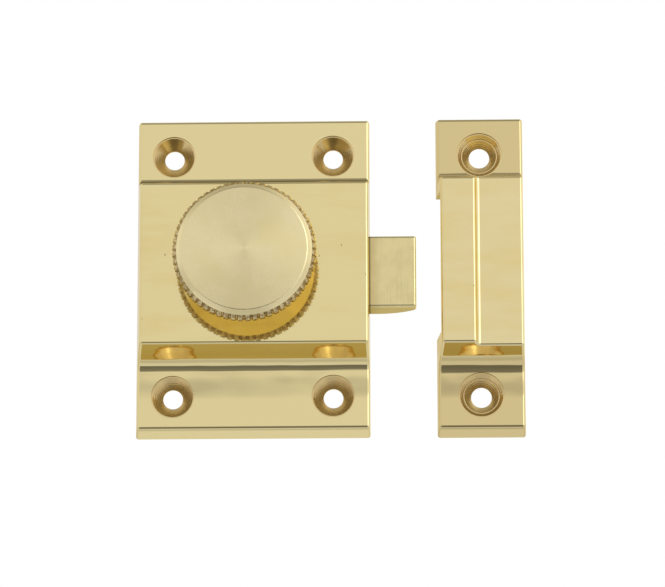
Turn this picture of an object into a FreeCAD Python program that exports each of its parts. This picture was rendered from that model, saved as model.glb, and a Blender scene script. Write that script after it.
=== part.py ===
import FreeCAD, Part
import math
import os
import re
import Sketcher

# Cupboard catch latch: a cast brass case with a turned knob that draws a sprung bolt, and the keep that
# the bolt catches in. Millimetres. X runs towards the keep, +Z up, and the front of the latch faces -Y.
# The origin is on the back of the case, at the centre of its four screw holes.

Vector = FreeCAD.Vector
FORWARD = FreeCAD.Rotation(Vector(1, 0, 0), 90)
SIDEWAYS = FreeCAD.Rotation(Vector(0, 1, 0), -90)
SINK_TAPER = -45  # degrees: each countersink narrows at this angle
SHARP = 0.97  # two faces meet at a sharp edge when the cosine between their normals is below this
OVERRUN = "1"  # how far a cut's outline runs past what it cuts

# Driving dimensions: alias, value, meaning.
SIZES = [
    ("case_width", 50.8, "case, left to right"),
    ("case_height", 71.4, "case, end to end at its back"),
    ("case_depth", 9.0, "back of the case to its raised face"),
    ("flange_thick", 3.0, "screw flanges of the case and the keep"),
    ("end_slope", 1.5, "how far the lower end face of a flange leans in over the flange"),
    ("top_end_slope", 0.65, "how far the upper end face leans in"),
    ("face_low", 16.5, "raised face, below the centre"),
    ("face_high", 19.5, "raised face, above the centre"),
    ("wall_slope", 3.2, "how far the lower raised wall leans out to its flange"),
    ("top_wall_slope", 1.6, "how far the upper raised wall leans out"),
    ("foot_fillet", 2.8, "fillet where the case's lower wall meets its flange"),
    ("top_foot_fillet", 1.2, "fillet where an upper wall meets its flange"),
    ("low_edge_round", 1.0, "rounding of a lower flange's front edge"),
    ("edge_round", 0.6, "softened edges of the castings"),
    ("left_draft", 1.1, "how far the left side of a casting leans in"),
    ("right_draft", 0.2, "how far the right side of a casting leans in"),
    ("front_wall", 1.5, "case metal behind the raised face"),
    ("side_wall", 3.2, "case metal at the left and right of the cavity"),
    ("cavity_inset", 0.9, "cavity ends inside the ends of the raised face"),
    ("screw_pitch", 54.0, "screw holes, end to end, case and keep"),
    ("screw_row", 34.8, "screw holes of the case, side to side"),
    ("screw_hole", 4.3, "screw hole diameter"),
    ("screw_sink", 9.4, "countersink diameter at the flange face"),
    ("sink_rim", 0.3, "straight rim of a countersink"),
    ("sink_ledge", 0.3, "ledge between a countersink's rim and its cone"),
    ("keep_hole", 4.5, "screw hole diameter in the keep"),
    ("keep_sink", 10.0, "countersink diameter in the keep"),
    ("keep_ring", 7.9, "turned step in the keep's countersinks"),
    ("ring_step", 0.22, "depth of the turned step"),
    ("corner_boss", 5.2, "square boss in each corner of the cavity for a cover screw"),
    ("cover_thick", 1.0, "back plate thickness"),
    ("cover_lip", 1.0, "ledge round the cavity that the back plate sits on"),
    ("cover_gap", 0.1, "clearance round the back plate"),
    ("cover_screw", 2.0, "cover screw diameter"),
    ("cover_head", 3.6, "cover screw head diameter"),
    ("cover_screw_length", 5.0, "cover screw length"),
    ("cover_slot_width", 0.5, "cover screw slot width"),
    ("cover_slot_depth", 0.45, "cover screw slot depth"),
    ("thread_gap", 0.04, "clearance round a cover screw"),
    ("knob_across", -1.3, "knob axis, left of the centre"),
    ("knob_up", 1.5, "knob axis, above the centre"),
    ("knob_dia", 31.0, "knob at the widest part of its milled band"),
    ("knob_face", 27.4, "knob face"),
    ("band_back", 7.2, "case face to the back edge of the milled band"),
    ("band_front", 10.55, "case face to the front edge of the milled band"),
    ("face_rise", 11.55, "case face to the edge of the knob face"),
    ("face_dome", 0.3, "crown of the knob face"),
    ("face_flat", 2.0, "turned flat at the middle of the knob face"),
    ("teeth", 60, "milled grooves round the knob"),
    ("groove_depth", 0.3, "milled groove depth"),
    ("groove_floor", 0.2, "milled groove width at its bottom"),
    ("groove_mouth", 1.2, "milled groove width as far outside the crest as its bottom is inside"),
    ("band_round", 2.0, "radius of the milled band's crown"),
    ("shoulder_round", 0.5, "rounding between the shoulder and the face"),
    ("neck_round", 2.0, "fillet between the neck and the underside"),
    ("neck_dia", 13.0, "knob neck at the case"),
    ("neck_rise", 2.2, "straight part of the knob neck"),
    ("washer_thick", 0.5, "neck washer thickness"),
    ("stack_gap", 0.04, "end clearance between parts that turn on each other"),
    ("spindle_dia", 6.0, "spindle diameter"),
    ("spindle_gap", 0.05, "running clearance round the spindle"),
    ("spindle_grip", 8.5, "spindle length inside the knob"),
    ("spindle_square", 4.2, "square end of the spindle"),
    ("rivet_dia", 6.6, "riveted head of the spindle"),
    ("rivet_thick", 0.4, "thickness of the riveted head"),
    ("boss_dia", 11.0, "spindle boss in the cavity"),
    ("boss_reach", 0.9, "spindle boss behind the front wall"),
    ("shim_thick", 0.25, "thrust washer thickness"),
    ("cam_thick", 2.0, "cam plate thickness"),
    ("cam_hub", 10.6, "cam plate hub diameter"),
    ("cam_arm", 6.4, "cam plate arm width"),
    ("pin_dia", 2.5, "cam pin diameter"),
    ("pin_gap", 0.2, "clearance each side of the cam pin in its notch"),
    ("knob_swing", 30.0, "how far the knob turns each side of middle, degrees"),
    ("bolt_throw", 10.1, "how far the bolt stands out, which is how far it draws back"),
    ("bolt_height", 15.9, "bolt height"),
    ("bolt_drop", 0.35, "bolt centre below the centre of the case"),
    ("bolt_front_gap", 0.25, "case wall to the front of the bolt"),
    ("bolt_gap", 0.12, "sliding clearance round the bolt"),
    ("bolt_nose", 2.4, "bolt thickness at its tip"),
    ("nose_run", 8.5, "length of the bolt's rounded back"),
    ("bolt_round", 0.5, "softened edges of the bolt"),
    ("head_length", 18.0, "full-thickness part of the bolt"),
    ("tail_gap", 0.35, "bolt tail to the spindle's riveted head"),
    ("lug_width", 9.0, "lug on the tail, centred on the cam pin's notch"),
    ("lug_drop", 3.0, "lug below the bolt"),
    ("spring_up", 9.4, "spring axis above the knob axis"),
    ("spring_dia", 4.4, "return spring outer diameter"),
    ("spring_wire", 0.6, "return spring wire"),
    ("spring_turns", 9, "return spring turns"),
    ("ear_thick", 3.0, "ear on the tail that the spring pushes on"),
    ("ear_place", 3.5, "ear, right of the centre of the case, bolt out"),
    ("guide_dia", 2.2, "spring guide rod"),
    ("guide_reach", 11.5, "spring guide rod beyond the ear"),
    ("guide_collar", 0.8, "head of the spring guide rod"),
    ("seat_depth", 0.8, "spring seat sunk in the case wall"),
    ("seat_gap", 0.24, "clearance round the spring in its seat"),
    ("keep_gap", 14.5, "case to keep"),
    ("keep_width", 19.05, "keep, left to right"),
    ("keep_height", 71.6, "keep, end to end at its back"),
    ("keep_depth", 9.0, "back of the keep to its lip"),
    ("keep_face_low", 16.6, "keep bridge, below the centre"),
    ("keep_face_high", 20.4, "keep bridge, above the centre"),
    ("lip_width", 8.4, "raised lip, from the keep's left side"),
    ("lip_step", 1.0, "lip in front of the rest of the bridge"),
    ("step_run", 0.5, "how far the step leans out"),
    ("step_fillet", 1.0, "fillet at the foot of the step"),
    ("keep_foot_fillet", 4.0, "fillet where the keep's lower wall meets its flange"),
    ("keep_wall", 1.5, "keep metal round its pocket"),
    ("keep_end_wall", 2.6, "keep metal above and below its pocket"),
]
ALIASES = {alias for alias, _, _ in SIZES}

doc = FreeCAD.newDocument("cupboard_catch_latch")


def make_sheet():
    """Puts the driving dimensions in a spreadsheet, one row each."""
    table = doc.addObject("Spreadsheet::Sheet", "Sizes")
    for row, (alias, number, meaning) in enumerate(SIZES, start=1):
        table.set(f"A{row}", alias)
        table.set(f"B{row}", str(number))
        table.set(f"C{row}", meaning)
        table.setAlias(f"B{row}", alias)
    doc.recompute()
    return table


sheet = make_sheet()


def formula(text):
    """Turns each alias in the text into a reference to its cell."""
    return re.sub(r"[a-z][a-z_]*", lambda m: f"Sizes.{m[0]}" if m[0] in ALIASES else m[0], str(text))


def value(text):
    """Gives the number that a formula has now."""
    return float(sheet.evalExpression(formula(text)))


def bind(thing, **formulas):
    """Binds properties of an object to formulas; Placement_x, _y and _z stand for its place."""
    for name, text in formulas.items():
        thing.setExpression(name.replace("Placement_", ".Placement.Base."), formula(text))


# Places that several parts share
BOLT_TIP = "case_width/2 + bolt_throw"
BOLT_ROOT = f"{BOLT_TIP} - head_length"
BOLT_TOP = "bolt_height/2 - bolt_drop"
BOLT_FOOT = "-bolt_height/2 - bolt_drop"
CAVITY_SIDE = "case_width/2 - side_wall"
CAVITY_TOP = "face_high - cavity_inset"
CAVITY_FOOT = "-face_low + cavity_inset"
CAVITY_FRONT = "case_depth - front_wall"
CAM_FRONT = f"{CAVITY_FRONT} - boss_reach - shim_thick - 2*stack_gap"
CAM_BACK = f"{CAM_FRONT} - cam_thick"
BOLT_FACE = f"({CAVITY_FRONT} - bolt_front_gap)"
BOLT_BACK = "cover_thick + bolt_gap"
TAIL_THICK = f"{CAM_BACK} - rivet_thick - tail_gap - ({BOLT_BACK})"
SPRING_BACK = f"(cover_thick + {CAVITY_FRONT})/2"
CRANK = "bolt_throw / (2*sin(knob_swing))"
PIN_ACROSS = "knob_across + bolt_throw/2"
PIN_HIGH = f"knob_up - ({CRANK})*cos(knob_swing)"
SPRING_HIGH = "knob_up + spring_up"
NECK_FOOT = "case_depth + washer_thick + 2*stack_gap"
BAND_CREST = "case_depth + (band_back + band_front)/2"
BAND_CENTRE = "knob_dia/2 - band_round"
KEEP_LEFT = "case_width/2 + keep_gap"
KEEP_RIGHT = f"{KEEP_LEFT} + keep_width"
KEEP_CENTRE = f"{KEEP_LEFT} + keep_width/2"
COVER_SCREW_ACROSS = f"{CAVITY_SIDE} - corner_boss/2"
COVER_SCREW_HIGH = f"{CAVITY_TOP} - corner_boss/2"
COVER_SCREW_LOW = f"{CAVITY_FOOT} + corner_boss/2"


def new_body(name):
    """Makes an empty body for one sub-part."""
    body = doc.addObject("PartDesign::Body", name)
    body.Label = name
    return body


def new_sketch(body, name, plane, offset="0"):
    """Makes a sketch on an origin plane of the body; offset is measured along the plane's normal."""
    sketch = body.newObject("Sketcher::SketchObject", name)
    origin_plane = next(f for f in body.Origin.OriginFeatures if f.Role == f"{plane}_Plane")
    sketch.AttachmentSupport = [(origin_plane, "")]
    sketch.MapMode = "FlatFace"
    sketch.setExpression("AttachmentOffset.Base.z", formula(offset))
    return sketch


def bind_constraint(sketch, kind, *where_and_text):
    """Adds a constraint whose last argument is a formula, and binds it to that formula."""
    where, text = where_and_text[:-1], where_and_text[-1]
    number = sketch.addConstraint(Sketcher.Constraint(kind, *where, value(text)))
    sketch.setExpression(f"Constraints[{number}]", formula(text))


def pin_point(sketch, curve, point, across, up):
    """Binds a point of a curve to its pair of formulas."""
    bind_constraint(sketch, "DistanceX", curve, point, across)
    bind_constraint(sketch, "DistanceY", curve, point, up)


def draw_outline(sketch, corners):
    """Draws a closed outline of straight lines through corners given as pairs of formulas."""
    first = sketch.GeometryCount
    points = [Vector(value(across), value(up), 0) for across, up in corners]
    count = len(points)
    for n in range(count):
        sketch.addGeometry(Part.LineSegment(points[n], points[(n + 1) % count]))
    for n in range(count):
        following = first + (n + 1) % count
        sketch.addConstraint(Sketcher.Constraint("Coincident", first + n, 2, following, 1))
    for n, (across, up) in enumerate(corners):
        pin_point(sketch, first + n, 1, across, up)


def draw_rectangle(sketch, left, right, foot, top):
    """Draws a rectangle between four formulas."""
    draw_outline(sketch, [(left, foot), (right, foot), (right, top), (left, top)])


def draw_circle(sketch, across, up, diameter):
    """Draws a circle by its centre and diameter."""
    centre = Vector(value(across), value(up), 0)
    curve = sketch.addGeometry(Part.Circle(centre, Vector(0, 0, 1), value(diameter) / 2))
    pin_point(sketch, curve, 3, across, up)
    bind_constraint(sketch, "Diameter", curve, diameter)


def add_feature(body, kind, name, sketch, **formulas):
    """Adds a feature that works on a sketch."""
    feature = body.newObject(f"PartDesign::{kind}", name)
    feature.Profile = sketch
    bind(feature, **formulas)
    return feature


def cut_forward(body, name, sketch, length):
    """Cuts the sketch from its plane towards the front, -Y."""
    feature = add_feature(body, "Pocket", name, sketch, Length=length)
    feature.Reversed = True
    return feature


def cut_through(body, name, sketch):
    """Cuts the sketch through the whole body, both ways."""
    feature = add_feature(body, "Pocket", name, sketch)
    feature.Type = "ThroughAll"
    feature.Midplane = True
    return feature


def round_edges(body, name, radius, wanted):
    """Rounds those edges of the body's last feature that wanted(edge) picks."""
    doc.recompute()
    base = body.Tip
    names = [f"Edge{n}" for n, edge in enumerate(base.Shape.Edges, start=1) if wanted(edge)]
    fillet = body.newObject("PartDesign::Fillet", name)
    fillet.Base = (base, names)
    bind(fillet, Radius=radius)


def near(number, text):
    """Says whether a coordinate has a formula's value."""
    return abs(number - value(text)) < 1e-4


def middle(edge):
    """Gives the point halfway along an edge."""
    return edge.valueAt((edge.FirstParameter + edge.LastParameter) / 2)


def runs(edge, direction):
    """Says whether an edge is a straight line along a direction."""
    if edge.Degenerated or not isinstance(edge.Curve, Part.Line):
        return False
    return abs(edge.Curve.Direction.dot(direction)) > 0.9999


ALONG_X = Vector(1, 0, 0)
ALONG_Y = Vector(0, 1, 0)
ALONG_Z = Vector(0, 0, 1)


def flanged_profile(height, face_foot, face_top, depth):
    """Gives the side view, as (Y, Z) pairs, of a block raised between two screw flanges."""
    end = f"({height})/2"
    return [
        ("0", f"-{end}"), ("-flange_thick", f"-{end} + end_slope"),
        ("-flange_thick", f"-({face_foot}) - wall_slope"), (f"-({depth})", f"-({face_foot})"),
        (f"-({depth})", face_top), ("-flange_thick", f"{face_top} + top_wall_slope"),
        ("-flange_thick", f"{end} - top_end_slope"), ("0", end),
    ]


def round_casting(body, height, face_foot, face_top, foot_fillet):
    """Fillets the feet of a flanged casting's raised walls, then softens every sharp edge in front."""
    def on_flange(high):
        return lambda e: runs(e, ALONG_X) and near(middle(e).y, "-flange_thick") and near(middle(e).z, high)

    round_edges(body, "low_foot", foot_fillet, on_flange(f"-({face_foot}) - wall_slope"))
    round_edges(body, "high_foot", "top_foot_fillet", on_flange(f"{face_top} + top_wall_slope"))
    round_edges(body, "low_edge", "low_edge_round", on_flange(f"-({height})/2 + end_slope"))
    doc.recompute()
    blank = body.Tip.Shape
    round_edges(body, "soft_edges", "edge_round",
                lambda e: not on_back(e) and is_sharp(blank, e))


def on_back(edge):
    """Says whether an edge lies in the back plane."""
    return all(abs(vertex.Point.y) < 1e-6 for vertex in edge.Vertexes)


def is_sharp(shape, edge):
    """Says whether the two faces that meet at an edge meet at an angle."""
    at = middle(edge)
    normals = []
    for face in shape.ancestorsOfType(edge, Part.Face):
        across, along = face.Surface.parameter(at)
        normals.append(face.normalAt(across, along))
    return len(normals) == 2 and normals[0].dot(normals[1]) < SHARP


def is_circle(edge):
    """Says whether an edge is round."""
    return not edge.Degenerated and isinstance(edge.Curve, Part.Circle)


def lean_sides(body, left, right, depth):
    """Leans the left and right sides of a casting in, from its back to its face."""
    sketch = new_sketch(body, "side_lean", "XY")
    front = f"-({depth})"
    draw_outline(sketch, [(left, "0"), (f"{left} + left_draft", front), (left, front)])
    draw_outline(sketch, [(right, "0"), (right, front), (f"{right} - right_draft", front)])
    cut_through(body, "side_draft", sketch)


def sink_holes(body, centres, hole, sink):
    """Cuts screw holes through the flanges and countersinks them from the front, below a short rim."""
    through = new_sketch(body, "hole_circles", "XZ")
    rim = new_sketch(body, "rim_circles", "XZ", "flange_thick - sink_rim")
    mouth = new_sketch(body, "cone_circles", "XZ", "flange_thick - sink_rim")
    for across, up in centres:
        draw_circle(through, across, up, hole)
        draw_circle(rim, across, up, sink)
        draw_circle(mouth, across, up, f"{sink} - 2*sink_ledge")
    cut_through(body, "screw_holes", through)
    cut_forward(body, "sink_rims", rim, "sink_rim + flange_thick")
    cone = add_feature(body, "Pocket", "countersinks", mouth, Length=f"({sink} - {hole})/2 - sink_ledge")
    cone.TaperAngle = SINK_TAPER


def make_case():
    """The casting: two screw flanges, and between them a hollow block with the spindle boss."""
    body = new_body("case")
    side = new_sketch(body, "side_view", "YZ")
    draw_outline(side, flanged_profile("case_height", "face_low", "face_high", "case_depth"))
    block = add_feature(body, "Pad", "block", side, Length="case_width")
    block.Midplane = True
    lean_sides(body, "-case_width/2", "case_width/2", "case_depth")
    round_casting(body, "case_height", "face_low", "face_high", "foot_fillet")
    hollow_case(body)
    fit_bolt_and_spindle(body)
    rows = [("-screw_row/2", "screw_pitch/2"), ("screw_row/2", "screw_pitch/2"),
            ("-screw_row/2", "-screw_pitch/2"), ("screw_row/2", "-screw_pitch/2")]
    sink_holes(body, rows, "screw_hole", "screw_sink")
    return body


def hollow_case(body):
    """Cuts the cavity from the back, with a boss in each corner and the ledge for the back plate."""
    ledge = new_sketch(body, "ledge_outline", "XZ")
    draw_rectangle(ledge, f"-({CAVITY_SIDE}) - cover_lip", f"{CAVITY_SIDE} + cover_lip",
                   f"{CAVITY_FOOT} - cover_lip", f"{CAVITY_TOP} + cover_lip")
    cut_forward(body, "ledge", ledge, "cover_thick")
    inner = f"{CAVITY_SIDE} - corner_boss"
    cavity = new_sketch(body, "cavity_outline", "XZ")
    draw_outline(cavity, [
        (f"-({inner})", CAVITY_FOOT), (inner, CAVITY_FOOT), (inner, f"{CAVITY_FOOT} + corner_boss"),
        (CAVITY_SIDE, f"{CAVITY_FOOT} + corner_boss"), (CAVITY_SIDE, f"{CAVITY_TOP} - corner_boss"),
        (inner, f"{CAVITY_TOP} - corner_boss"), (inner, CAVITY_TOP), (f"-({inner})", CAVITY_TOP),
        (f"-({inner})", f"{CAVITY_TOP} - corner_boss"),
        (f"-({CAVITY_SIDE})", f"{CAVITY_TOP} - corner_boss"),
        (f"-({CAVITY_SIDE})", f"{CAVITY_FOOT} + corner_boss"),
        (f"-({inner})", f"{CAVITY_FOOT} + corner_boss"),
    ])
    cut_forward(body, "cavity", cavity, CAVITY_FRONT)
    taps = new_sketch(body, "tap_circles", "XZ")
    for across, up in cover_screw_places():
        draw_circle(taps, across, up, "cover_screw + 2*thread_gap")
    cut_forward(body, "cover_screw_holes", taps, "cover_screw_length + cover_gap")


def fit_bolt_and_spindle(body):
    """Adds the spindle boss and its bore, the bolt's slot in the right wall and the spring's seat."""
    boss = new_sketch(body, "boss_circle", "XZ", f"{CAVITY_FRONT} - boss_reach")
    draw_circle(boss, "knob_across", "knob_up", "boss_dia")
    add_feature(body, "Pad", "spindle_boss", boss, Length="boss_reach")
    bore = new_sketch(body, "bore_circle", "XZ")
    draw_circle(bore, "knob_across", "knob_up", "spindle_dia + 2*spindle_gap")
    cut_forward(body, "spindle_bore", bore, f"case_depth + {OVERRUN}")
    slot = new_sketch(body, "slot_outline", "XZ")
    draw_rectangle(slot, f"{CAVITY_SIDE} - bolt_gap", "case_width",
                   f"{BOLT_FOOT} - bolt_gap", f"{BOLT_TOP} + bolt_gap")
    cut_forward(body, "bolt_slot", slot, f"{BOLT_FACE} + bolt_gap")
    seat = new_sketch(body, "seat_circle", "YZ", f"-({CAVITY_SIDE})")
    draw_circle(seat, f"-{SPRING_BACK}", SPRING_HIGH, "spring_dia + 2*seat_gap")
    add_feature(body, "Pocket", "spring_seat", seat, Length="seat_depth")


def cover_screw_places():
    """Gives the four cover screws' places as pairs of formulas."""
    return [(f"{sign}({COVER_SCREW_ACROSS})", up)
            for up in (COVER_SCREW_HIGH, COVER_SCREW_LOW) for sign in ("-", "")]


def make_back_plate():
    """The sheet cover, let into the back of the case."""
    body = new_body("back_plate")
    outline = new_sketch(body, "plate_outline", "XZ")
    across = f"{CAVITY_SIDE} + cover_lip - cover_gap"
    draw_rectangle(outline, f"-({across})", across,
                   f"{CAVITY_FOOT} - cover_lip + cover_gap", f"{CAVITY_TOP} + cover_lip - cover_gap")
    add_feature(body, "Pad", "plate", outline, Length="cover_thick")
    holes = new_sketch(body, "cover_hole_circles", "XZ")
    sinks = new_sketch(body, "cover_sink_circles", "XZ")
    for place in cover_screw_places():
        draw_circle(holes, *place, "cover_screw + 2*thread_gap")
        draw_circle(sinks, *place, "cover_head + 2*thread_gap")
    cut_through(body, "cover_holes", holes)
    cone = cut_forward(body, "cover_sinks", sinks, "(cover_head - cover_screw)/2")
    cone.TaperAngle = SINK_TAPER
    return body


def make_cover_screws():
    """Four slotted countersunk screws, heads flush with the back plate, as separate solids."""
    screws = [cover_screw(n, *place) for n, place in enumerate(cover_screw_places(), start=1)]
    group = doc.addObject("Part::Compound", "cover_screws")
    group.Label = "cover_screws"
    group.Links = screws
    return group


def cover_screw(number, across, up):
    """One cover screw: a cone and a shank, with a slot across the head."""
    head = doc.addObject("Part::Cone", f"screw_head_{number}")
    bind(head, Radius1="cover_head/2", Radius2="cover_screw/2", Height="(cover_head - cover_screw)/2")
    shank = doc.addObject("Part::Cylinder", f"screw_shank_{number}")
    bind(shank, Radius="cover_screw/2", Height="cover_screw_length")
    for piece in (head, shank):
        piece.Placement = FreeCAD.Placement(Vector(), FORWARD)
        bind(piece, Placement_x=across, Placement_z=up)
    whole = doc.addObject("Part::Fuse", f"screw_blank_{number}")
    whole.Base, whole.Tool = head, shank
    slot = doc.addObject("Part::Box", f"screw_slot_{number}")
    bind(slot, Length="cover_head + 2*thread_gap", Width="cover_slot_depth", Height="cover_slot_width",
         Placement_x=f"{across} - cover_head/2 - thread_gap", Placement_y="-cover_slot_depth",
         Placement_z=f"{up} - cover_slot_width/2")
    screw = doc.addObject("Part::Cut", f"cover_screw_{number}")
    screw.Base, screw.Tool = whole, slot
    return screw


def make_knob():
    """The turned knob: domed face, shoulder, milled band, sloping underside and neck."""
    body = new_body("knob")
    profile = new_sketch(body, "knob_profile", "XY")
    draw_knob_profile(profile)
    turned = body.newObject("PartDesign::Revolution", "turned_blank")
    turned.Profile = profile
    turned.ReferenceAxis = (profile, ["V_Axis"])
    turned.Angle = 360
    round_edges(body, "neck_fillet", "neck_round",
                lambda e: is_circle(e) and near(middle(e).y, f"-({NECK_FOOT}) - neck_rise"))
    round_edges(body, "shoulder", "shoulder_round",
                lambda e: is_circle(e) and near(e.Curve.Radius, "knob_face/2"))
    bore = new_sketch(body, "knob_bore_circle", "XZ", NECK_FOOT)
    draw_circle(bore, "0", "0", "spindle_dia + 2*thread_gap")
    cut_forward(body, "knob_bore", bore, "spindle_grip")
    mill_band(body)
    bind(body, Placement_x="knob_across", Placement_z="knob_up")
    return body


def draw_knob_profile(sketch):
    """Half the knob's section, as (radius, Y): lines, an arc for the milled band and one for the face."""
    rim, under = "-case_depth - band_front", "-case_depth - band_back"
    crown = value("case_depth + face_rise + face_dome")
    half, rise, flat = value("knob_face/2"), value("face_dome"), value("face_flat/2")
    reach, lean = value("band_round"), value("(band_front - band_back)/2")
    bulge = Vector(value(BAND_CENTRE), -value(BAND_CREST), 0)
    spread = math.asin(lean / reach)
    band = Part.ArcOfCircle(Part.Circle(bulge, Vector(0, 0, 1), reach), -spread, spread)
    behind = (half ** 2 + rise ** 2 - flat ** 2) / (2 * rise)
    radius = math.hypot(behind, flat)
    dome_circle = Part.Circle(Vector(0, behind - crown, 0), Vector(0, 0, 1), radius)
    dome = Part.ArcOfCircle(dome_circle, math.asin(flat / radius) - math.pi / 2,
                            math.asin(half / radius) - math.pi / 2)
    face_edge = Vector(half, -value("case_depth + face_rise"), 0)
    neck_top = Vector(value("neck_dia/2"), -value(f"{NECK_FOOT} + neck_rise"), 0)
    neck_foot = Vector(value("neck_dia/2"), -value(NECK_FOOT), 0)
    axis_foot = Vector(0, neck_foot.y, 0)
    for curve in (Part.LineSegment(face_edge, band.StartPoint), band,
                  Part.LineSegment(band.EndPoint, neck_top),
                  Part.LineSegment(neck_top, neck_foot), Part.LineSegment(neck_foot, axis_foot),
                  Part.LineSegment(axis_foot, Vector(0, -crown, 0)),
                  Part.LineSegment(Vector(0, -crown, 0), Vector(flat, -crown, 0)), dome):
        sketch.addGeometry(curve)
    count = sketch.GeometryCount
    for n in range(count):
        sketch.addConstraint(Sketcher.Constraint("Coincident", n, 2, (n + 1) % count, 1))
    sketch.addConstraint(Sketcher.Constraint("PointOnObject", count - 1, 3, -2))
    pin_point(sketch, 0, 1, "knob_face/2", "-case_depth - face_rise")
    pin_point(sketch, 1, 3, BAND_CENTRE, f"-({BAND_CREST})")
    bind_constraint(sketch, "Radius", 1, "band_round")
    bind_constraint(sketch, "DistanceY", 1, 1, rim)
    bind_constraint(sketch, "DistanceY", 1, 2, under)
    pin_point(sketch, 3, 1, "neck_dia/2", f"-({NECK_FOOT}) - neck_rise")
    pin_point(sketch, 4, 1, "neck_dia/2", f"-({NECK_FOOT})")
    pin_point(sketch, 5, 1, "0", f"-({NECK_FOOT})")
    pin_point(sketch, 5, 2, "0", "-case_depth - face_rise - face_dome")
    pin_point(sketch, 6, 2, "face_flat/2", "-case_depth - face_rise - face_dome")


def mill_band(body):
    """Mills one groove that follows the band's crown, and repeats it round the knob."""
    groove = new_sketch(body, "groove_outline", "XZ", BAND_CREST)
    bottom = "knob_dia/2 - groove_depth"
    outside = "knob_dia/2 + groove_depth"
    draw_outline(groove, [("-groove_floor/2", bottom), ("groove_floor/2", bottom),
                          ("groove_mouth/2", outside), ("-groove_mouth/2", outside)])
    ends = [Vector(side * value("groove_mouth/2"), value(BAND_CENTRE), 0) for side in (-1, 1)]
    swing = groove.addGeometry(Part.LineSegment(*ends), True)
    pin_point(groove, swing, 1, "-groove_mouth/2", BAND_CENTRE)
    pin_point(groove, swing, 2, "groove_mouth/2", BAND_CENTRE)
    cut = body.newObject("PartDesign::Groove", "groove")
    cut.Profile = groove
    cut.ReferenceAxis = (groove, ["Axis0"])
    cut.Midplane = True
    bind(cut, Angle="2*asin((band_front - band_back)/2/band_round)")
    doc.recompute()
    ring = body.newObject("PartDesign::PolarPattern", "milled_band")
    ring.Originals = [cut]
    ring.Axis = (next(f for f in body.Origin.OriginFeatures if f.Role == "Y_Axis"), [""])
    ring.Angle = 360
    bind(ring, Occurrences="teeth")
    body.Tip = ring


def make_spindle():
    """The spindle: round through the case, square in the cam plate, riveted over behind it."""
    body = new_body("spindle")
    rod = new_sketch(body, "rod_circle", "XZ", CAM_FRONT)
    draw_circle(rod, "0", "0", "spindle_dia")
    add_feature(body, "Pad", "rod", rod, Length=f"{NECK_FOOT} + spindle_grip - stack_gap - ({CAM_FRONT})")
    square = new_sketch(body, "square_outline", "XZ", CAM_BACK)
    half = "spindle_square/2"
    draw_rectangle(square, f"-{half}", half, f"-{half}", half)
    add_feature(body, "Pad", "square_end", square, Length="cam_thick")
    rivet = new_sketch(body, "rivet_circle", "XZ", f"{CAM_BACK} - rivet_thick")
    draw_circle(rivet, "0", "0", "rivet_dia")
    add_feature(body, "Pad", "rivet_head", rivet, Length="rivet_thick")
    lay_on_knob_axis(body)
    return body


def lay_on_knob_axis(body):
    """Puts a body that is modelled with its crank straight down on the knob axis, at rest."""
    body.Placement = FreeCAD.Placement(Vector(), FreeCAD.Rotation(Vector(0, -1, 0), value("knob_swing")))
    bind(body, Placement_x="knob_across", Placement_z="knob_up")
    body.setExpression(".Placement.Rotation.Angle", formula("knob_swing"))


def make_washer(name, outside, start, thick):
    """A flat ring round the spindle; start is its back, in front of the case back."""
    ring = doc.addObject("Part::Cylinder", f"{name}_disc")
    hole = doc.addObject("Part::Cylinder", f"{name}_hole")
    bind(ring, Radius=f"{outside}/2", Height=thick, Placement_y=f"-({start})")
    bind(hole, Radius="spindle_dia/2 + spindle_gap", Height=f"2*({thick})",
         Placement_y=f"-({start}) + {thick}/2")
    for piece in (ring, hole):
        piece.Placement = FreeCAD.Placement(piece.Placement.Base, FORWARD)
        bind(piece, Placement_x="knob_across", Placement_z="knob_up")
    washer = doc.addObject("Part::Cut", name)
    washer.Label = name
    washer.Base, washer.Tool = ring, hole
    return washer


def make_cam_plate():
    """The crank on the spindle's square: a hub and an arm with the cam pin's hole."""
    body = new_body("cam_plate")
    hub = new_sketch(body, "hub_circle", "XZ", CAM_BACK)
    draw_circle(hub, "0", "0", "cam_hub")
    add_feature(body, "Pad", "hub", hub, Length="cam_thick")
    arm = new_sketch(body, "arm_outline", "XZ", CAM_BACK)
    draw_rectangle(arm, "-cam_arm/2", "cam_arm/2", f"-({CRANK})", "0")
    add_feature(body, "Pad", "arm", arm, Length="cam_thick")
    end = new_sketch(body, "arm_end_circle", "XZ", CAM_BACK)
    draw_circle(end, "0", f"-({CRANK})", "cam_arm")
    add_feature(body, "Pad", "arm_end", end, Length="cam_thick")
    square = new_sketch(body, "square_hole_outline", "XZ")
    half = "(spindle_square/2 + thread_gap)"
    draw_rectangle(square, f"-{half}", half, f"-{half}", half)
    cut_through(body, "square_hole", square)
    hole = new_sketch(body, "pin_hole_circle", "XZ")
    draw_circle(hole, "0", f"-({CRANK})", "pin_dia + 2*thread_gap")
    cut_through(body, "pin_hole", hole)
    lay_on_knob_axis(body)
    return body


def make_cam_pin():
    """The pin in the cam plate's arm, which works in the notch of the bolt's tail."""
    pin = doc.addObject("Part::Cylinder", "cam_pin")
    pin.Label = "cam_pin"
    pin.Placement = FreeCAD.Placement(Vector(), FORWARD)
    bind(pin, Radius="pin_dia/2", Height=f"{CAM_FRONT} - ({BOLT_BACK})", Placement_x=PIN_ACROSS,
         Placement_y=f"-({BOLT_BACK})", Placement_z=PIN_HIGH)
    return pin


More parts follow.
